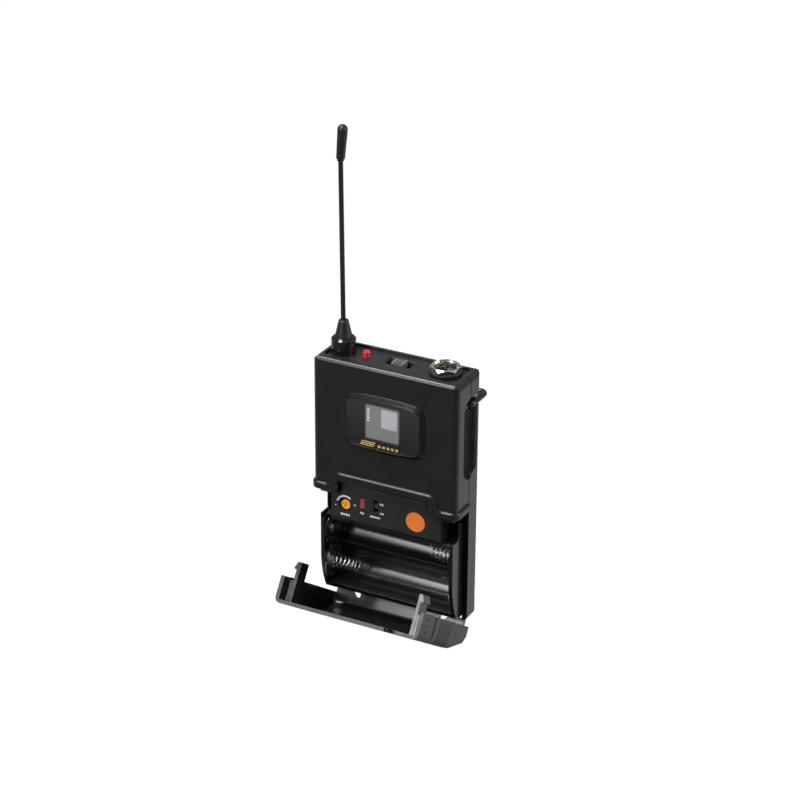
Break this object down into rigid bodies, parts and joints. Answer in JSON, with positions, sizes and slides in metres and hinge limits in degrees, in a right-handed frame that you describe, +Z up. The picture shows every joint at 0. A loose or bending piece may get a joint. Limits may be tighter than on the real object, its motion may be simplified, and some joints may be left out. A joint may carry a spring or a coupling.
{
  "type": "wireless bodypack transmitter",
  "caption": "Pocket radio-microphone transmitter pack with display, hinged battery door shown open, battery bay, wire belt clip, top-mounted antenna, switch and screw-ringed socket.",
  "frame": {"origin": "middle of the case width, at the front face and the underside of the case", "axes": "+X to the right seen from the front, +Y from the front face to the back, +Z up along the antenna"},
  "size_m": [0.0668, 0.0654, 0.2145],
  "materials": {
    "shell_black": "fine satin moulded",
    "tray_black": "polished moulded",
    "panel_grey": "fine textured print",
    "window_dark": "tinted glossy window",
    "lcd_grey": "grey-green display glass",
    "frame_white": "satin",
    "marker_orange": "printed",
    "rotor_amber": "smooth moulded",
    "ir_red": "translucent",
    "led_red": "translucent dome",
    "slider_grey": "satin with grip notches",
    "switch_black": "satin",
    "board_green": "solder resist",
    "shield_tin": "tinned sheet",
    "chip_black": "moulded",
    "screw_steel": "machined",
    "nut_chrome": "polished plating",
    "pin_gold": "plated",
    "contact_nickel": "nickel plated",
    "gasket_rubber": "satin",
    "antenna_gloss": "polished",
    "antenna_rubber": "satin",
    "lead_red": "insulation",
    "lead_yellow": "insulation",
    "clip_black": "glossy coated wire",
    "bush_natural": "natural moulded"
  },
  "bodies": {
    "case_body": {"front_shell": "shell_black", "rear_shell": "shell_black", "top_panel": "panel_grey", "battery_tray": "tray_black", "display_bezel": "shell_black", "display_window": "window_dark", "lcd_glass": "lcd_grey", "lcd_frame": "shield_tin", "display_carrier": "frame_white", "control_panel": "panel_grey", "channel_marker": "marker_orange", "ir_window": "ir_red", "ir_receiver": "chip_black", "gain_pot_body": "switch_black", "level_switch_body": "switch_black", "power_switch_body": "switch_black", "status_led": "led_red", "main_board": "board_green", "rf_shield": "shield_tin", "board_chips": "chip_black", "board_screws": "screw_steel", "case_screws": "screw_steel", "mic_jack_shell": "contact_nickel", "mic_jack_insulator": "switch_black", "mic_jack_pins": "pin_gold", "mic_jack_nut": "nut_chrome", "mic_jack_gasket": "gasket_rubber", "jack_wires": "lead_yellow", "antenna_base": "pin_gold", "antenna_collar": "antenna_gloss", "antenna_boot": "antenna_rubber", "antenna_whip": "antenna_rubber", "antenna_tip": "antenna_rubber", "bridge_contact": "contact_nickel", "positive_contact": "contact_nickel", "negative_contact": "contact_nickel", "upper_spring": "contact_nickel", "lower_spring": "contact_nickel", "battery_leads": "lead_red", "door_hinge_pins": "screw_steel", "clip_bushes": "bush_natural"},
    "door_body": {"battery_door": "shell_black"},
    "clip_body": {"belt_clip": "clip_black"},
    "power_slider_body": {"power_slider": "slider_grey"},
    "gain_rotor_body": {"gain_rotor": "rotor_amber"},
    "level_slider_body": {"level_slider": "switch_black"}
  },
  "joints": [
    {"name": "door_hinge", "type": "hinge", "parent": "case_body", "child": "door_body", "pos_m": [0, 0.0182, 0.0013], "axis": [1, 0, 0], "range_deg": [-56, 30]},
    {"name": "clip_hinge", "type": "hinge", "parent": "case_body", "child": "clip_body", "pos_m": [0, 0.014, 0.0969], "axis": [1, 0, 0], "range_deg": [0, 10]},
    {"name": "power_slide", "type": "slide", "parent": "case_body", "child": "power_slider_body", "axis": [1, 0, 0], "range_m": [-0.0024, 0.003]},
    {"name": "gain_turn", "type": "hinge", "parent": "case_body", "child": "gain_rotor_body", "pos_m": [-0.0185, 0.003, 0.0454], "axis": [0, 1, 0], "range_deg": [-135, 135]},
    {"name": "level_slide", "type": "slide", "parent": "case_body", "child": "level_slider_body", "axis": [0, 0, 1], "range_m": [-0.0014, 0.0014]}
  ]
}
